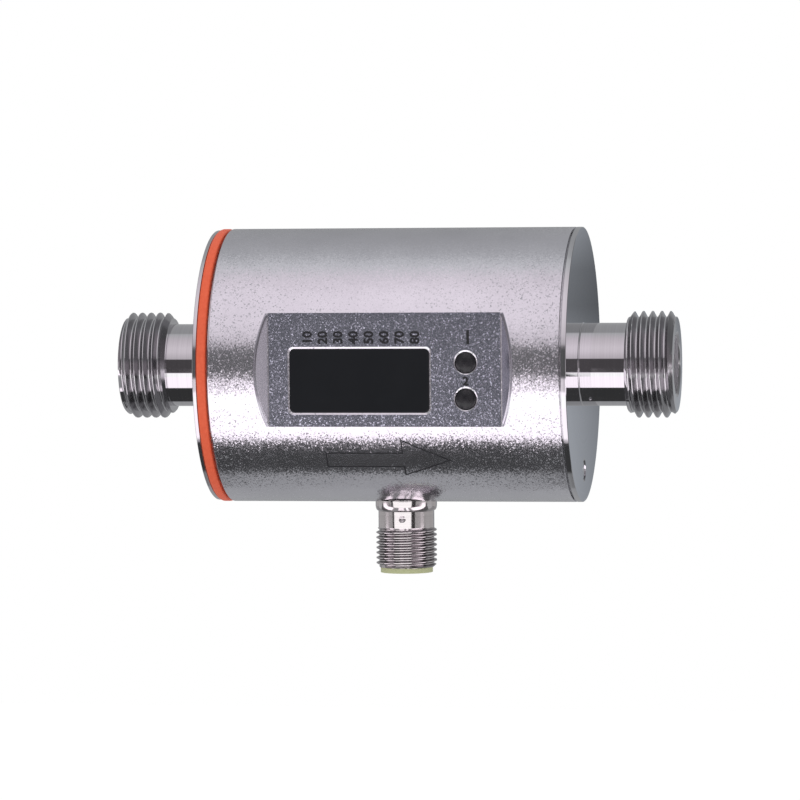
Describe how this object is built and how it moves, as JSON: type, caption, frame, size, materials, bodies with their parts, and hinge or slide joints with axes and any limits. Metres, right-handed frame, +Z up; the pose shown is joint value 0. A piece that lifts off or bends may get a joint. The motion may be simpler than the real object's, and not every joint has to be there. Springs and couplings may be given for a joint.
{
  "type": "electromagnetic flow meter",
  "caption": "Compact inline electromagnetic flow meter: round steel body with a flat display panel, two push buttons, threaded pipe stubs at both ends and a round plug connector below.",
  "frame": {"origin": "centre of the inlet stub's end face, on the pipe's axis", "axes": "+X along the pipe in the flow's direction, +Z up, the display faces -Y and the connector points to -Z"},
  "size_m": [0.11, 0.054, 0.068],
  "materials": {
    "satin_steel": "satin",
    "turned_steel": "polished",
    "nickel_plate": "polished",
    "orange_rubber": "matte",
    "black_rubber": "matte",
    "black_window": "gloss",
    "black_plastic": "satin",
    "natural_plastic": "satin",
    "insert_plastic": "satin",
    "gold_brass": "polished",
    "soft_iron": "satin",
    "copper_wire": "satin",
    "green_board": "satin",
    "lamp_plastic": "gloss"
  },
  "bodies": {
    "housing": {"board_link": "black_plastic", "button_guide": "black_plastic", "capacitors": "black_plastic", "coil_terminals": "gold_brass", "connector_board": "green_board", "connector_insert": "insert_plastic", "connector_nut": "nickel_plate", "connector_seal": "black_rubber", "connector_shell": "nickel_plate", "contact_pins": "gold_brass", "display_board": "green_board", "display_module": "black_plastic", "display_window": "black_window", "electrode_seals": "black_rubber", "front_contact": "gold_brass", "front_electrode": "turned_steel", "housing_seal_ring": "orange_rubber", "housing_sleeve": "satin_steel", "inlet_board_holder": "black_plastic", "inlet_cover": "satin_steel", "inlet_stub": "turned_steel", "inlet_tube_seal": "black_rubber", "lower_bobbin": "black_plastic", "lower_pole": "soft_iron", "lower_winding": "copper_wire", "main_board": "green_board", "measuring_tube": "natural_plastic", "mode_switch": "black_plastic", "outlet_board_holder": "black_plastic", "outlet_cover": "turned_steel", "outlet_stub": "turned_steel", "outlet_tube_seal": "black_rubber", "processor": "black_plastic", "rear_contact": "gold_brass", "rear_electrode": "turned_steel", "set_switch": "black_plastic", "status_lamps": "lamp_plastic", "tie_screws": "turned_steel", "upper_bobbin": "black_plastic", "upper_pole": "soft_iron", "upper_winding": "copper_wire", "vent_plug": "turned_steel", "window_gasket": "black_rubber", "yoke": "soft_iron"},
    "mode_button": {"mode_button": "black_plastic", "mode_plunger": "black_plastic"},
    "set_button": {"set_button": "black_plastic", "set_plunger": "black_plastic"}
  },
  "joints": [
    {"name": "mode_button_press", "type": "slide", "parent": "housing", "child": "mode_button", "axis": [0, 1, 0], "range_m": [0, 0.0005], "stiffness_N_per_m": 1500},
    {"name": "set_button_press", "type": "slide", "parent": "housing", "child": "set_button", "axis": [0, 1, 0], "range_m": [0, 0.0005], "stiffness_N_per_m": 1500}
  ]
}
